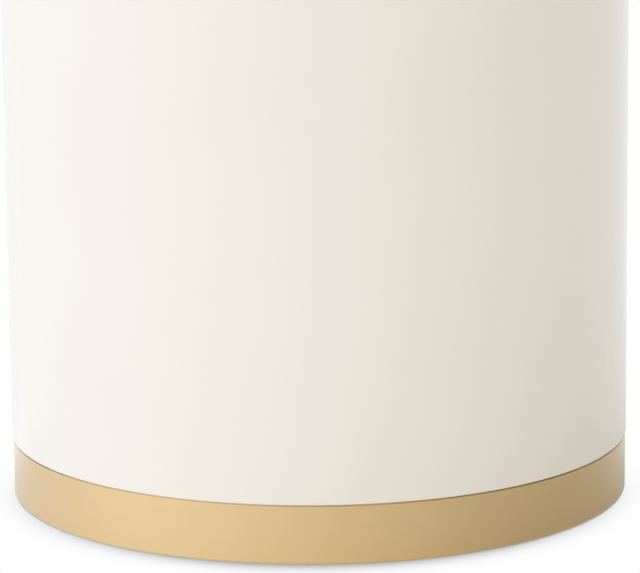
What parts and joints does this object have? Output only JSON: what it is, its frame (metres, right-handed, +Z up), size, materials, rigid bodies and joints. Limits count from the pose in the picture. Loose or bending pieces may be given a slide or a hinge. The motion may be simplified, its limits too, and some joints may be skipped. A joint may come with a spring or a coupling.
{
  "type": "drum coffee table",
  "caption": "Round drum coffee table: a cream lacquered cylinder with a flat top on a recessed plinth wrapped in a satin gold band, with hidden screw-down levelling feet.",
  "frame": {"origin": "centre of the base, on the floor that the gold band stands on", "axes": "+Z up along the drum's axis; -Y is the front that faces the camera, +Y the back with the hidden seams"},
  "size_m": [0.5, 0.5, 0.45],
  "materials": {
    "cream_lacquer": "sprayed satin lacquer",
    "birch_plywood": "raw sanded board",
    "pine": "planed softwood",
    "satin_gold": "satin brushed gold",
    "zinc_plated_steel": "zinc plated",
    "black_nylon": "moulded, matt"
  },
  "bodies": {
    "table": {"top_panel": "cream_lacquer", "drum_wall": "cream_lacquer", "mid_ring": "birch_plywood", "top_ring": "birch_plywood", "floor_panel": "birch_plywood", "plinth_ring_upper": "birch_plywood", "plinth_ring_lower": "birch_plywood", "upright_1": "pine", "upright_2": "pine", "upright_3": "pine", "upright_4": "pine", "upright_5": "pine", "upright_6": "pine", "wall_seam_batten": "pine", "base_band": "satin_gold", "top_panel_screws": "zinc_plated_steel", "upright_top_screws": "zinc_plated_steel", "upright_bottom_screws": "zinc_plated_steel", "band_lip_screws": "zinc_plated_steel", "plinth_bolts": "zinc_plated_steel", "plinth_washers": "zinc_plated_steel", "plinth_inserts": "zinc_plated_steel", "leveller_inserts": "zinc_plated_steel", "band_joint_plate": "zinc_plated_steel"},
    "foot_1": {"leveller_foot_1": "black_nylon"},
    "stud_1": {"leveller_stud_1": "zinc_plated_steel"},
    "foot_2": {"leveller_foot_2": "black_nylon"},
    "stud_2": {"leveller_stud_2": "zinc_plated_steel"},
    "foot_3": {"leveller_foot_3": "black_nylon"},
    "stud_3": {"leveller_stud_3": "zinc_plated_steel"},
    "foot_4": {"leveller_foot_4": "black_nylon"},
    "stud_4": {"leveller_stud_4": "zinc_plated_steel"}
  },
  "joints": [
    {"name": "foot_travel_1", "type": "slide", "parent": "table", "child": "foot_1", "axis": [0, 0, -1], "range_m": [0, 0.01]},
    {"name": "stud_turn_1", "type": "hinge", "parent": "foot_1", "child": "stud_1", "pos_m": [0.21305, 0, 0.02], "axis": [0, 0, -1], "range_deg": [0, 2880]},
    {"name": "foot_travel_2", "type": "slide", "parent": "table", "child": "foot_2", "axis": [0, 0, -1], "range_m": [0, 0.01]},
    {"name": "stud_turn_2", "type": "hinge", "parent": "foot_2", "child": "stud_2", "pos_m": [0, 0.21305, 0.02], "axis": [0, 0, -1], "range_deg": [0, 2880]},
    {"name": "foot_travel_3", "type": "slide", "parent": "table", "child": "foot_3", "axis": [0, 0, -1], "range_m": [0, 0.01]},
    {"name": "stud_turn_3", "type": "hinge", "parent": "foot_3", "child": "stud_3", "pos_m": [-0.21305, 0, 0.02], "axis": [0, 0, -1], "range_deg": [0, 2880]},
    {"name": "foot_travel_4", "type": "slide", "parent": "table", "child": "foot_4", "axis": [0, 0, -1], "range_m": [0, 0.01]},
    {"name": "stud_turn_4", "type": "hinge", "parent": "foot_4", "child": "stud_4", "pos_m": [0, -0.21305, 0.02], "axis": [0, 0, -1], "range_deg": [0, 2880]}
  ],
  "couplings": [
    {"joint": "stud_turn_1", "follows": "foot_travel_1", "rad_per_m": 5026.5},
    {"joint": "stud_turn_2", "follows": "foot_travel_2", "rad_per_m": 5026.5},
    {"joint": "stud_turn_3", "follows": "foot_travel_3", "rad_per_m": 5026.5},
    {"joint": "stud_turn_4", "follows": "foot_travel_4", "rad_per_m": 5026.5}
  ]
}
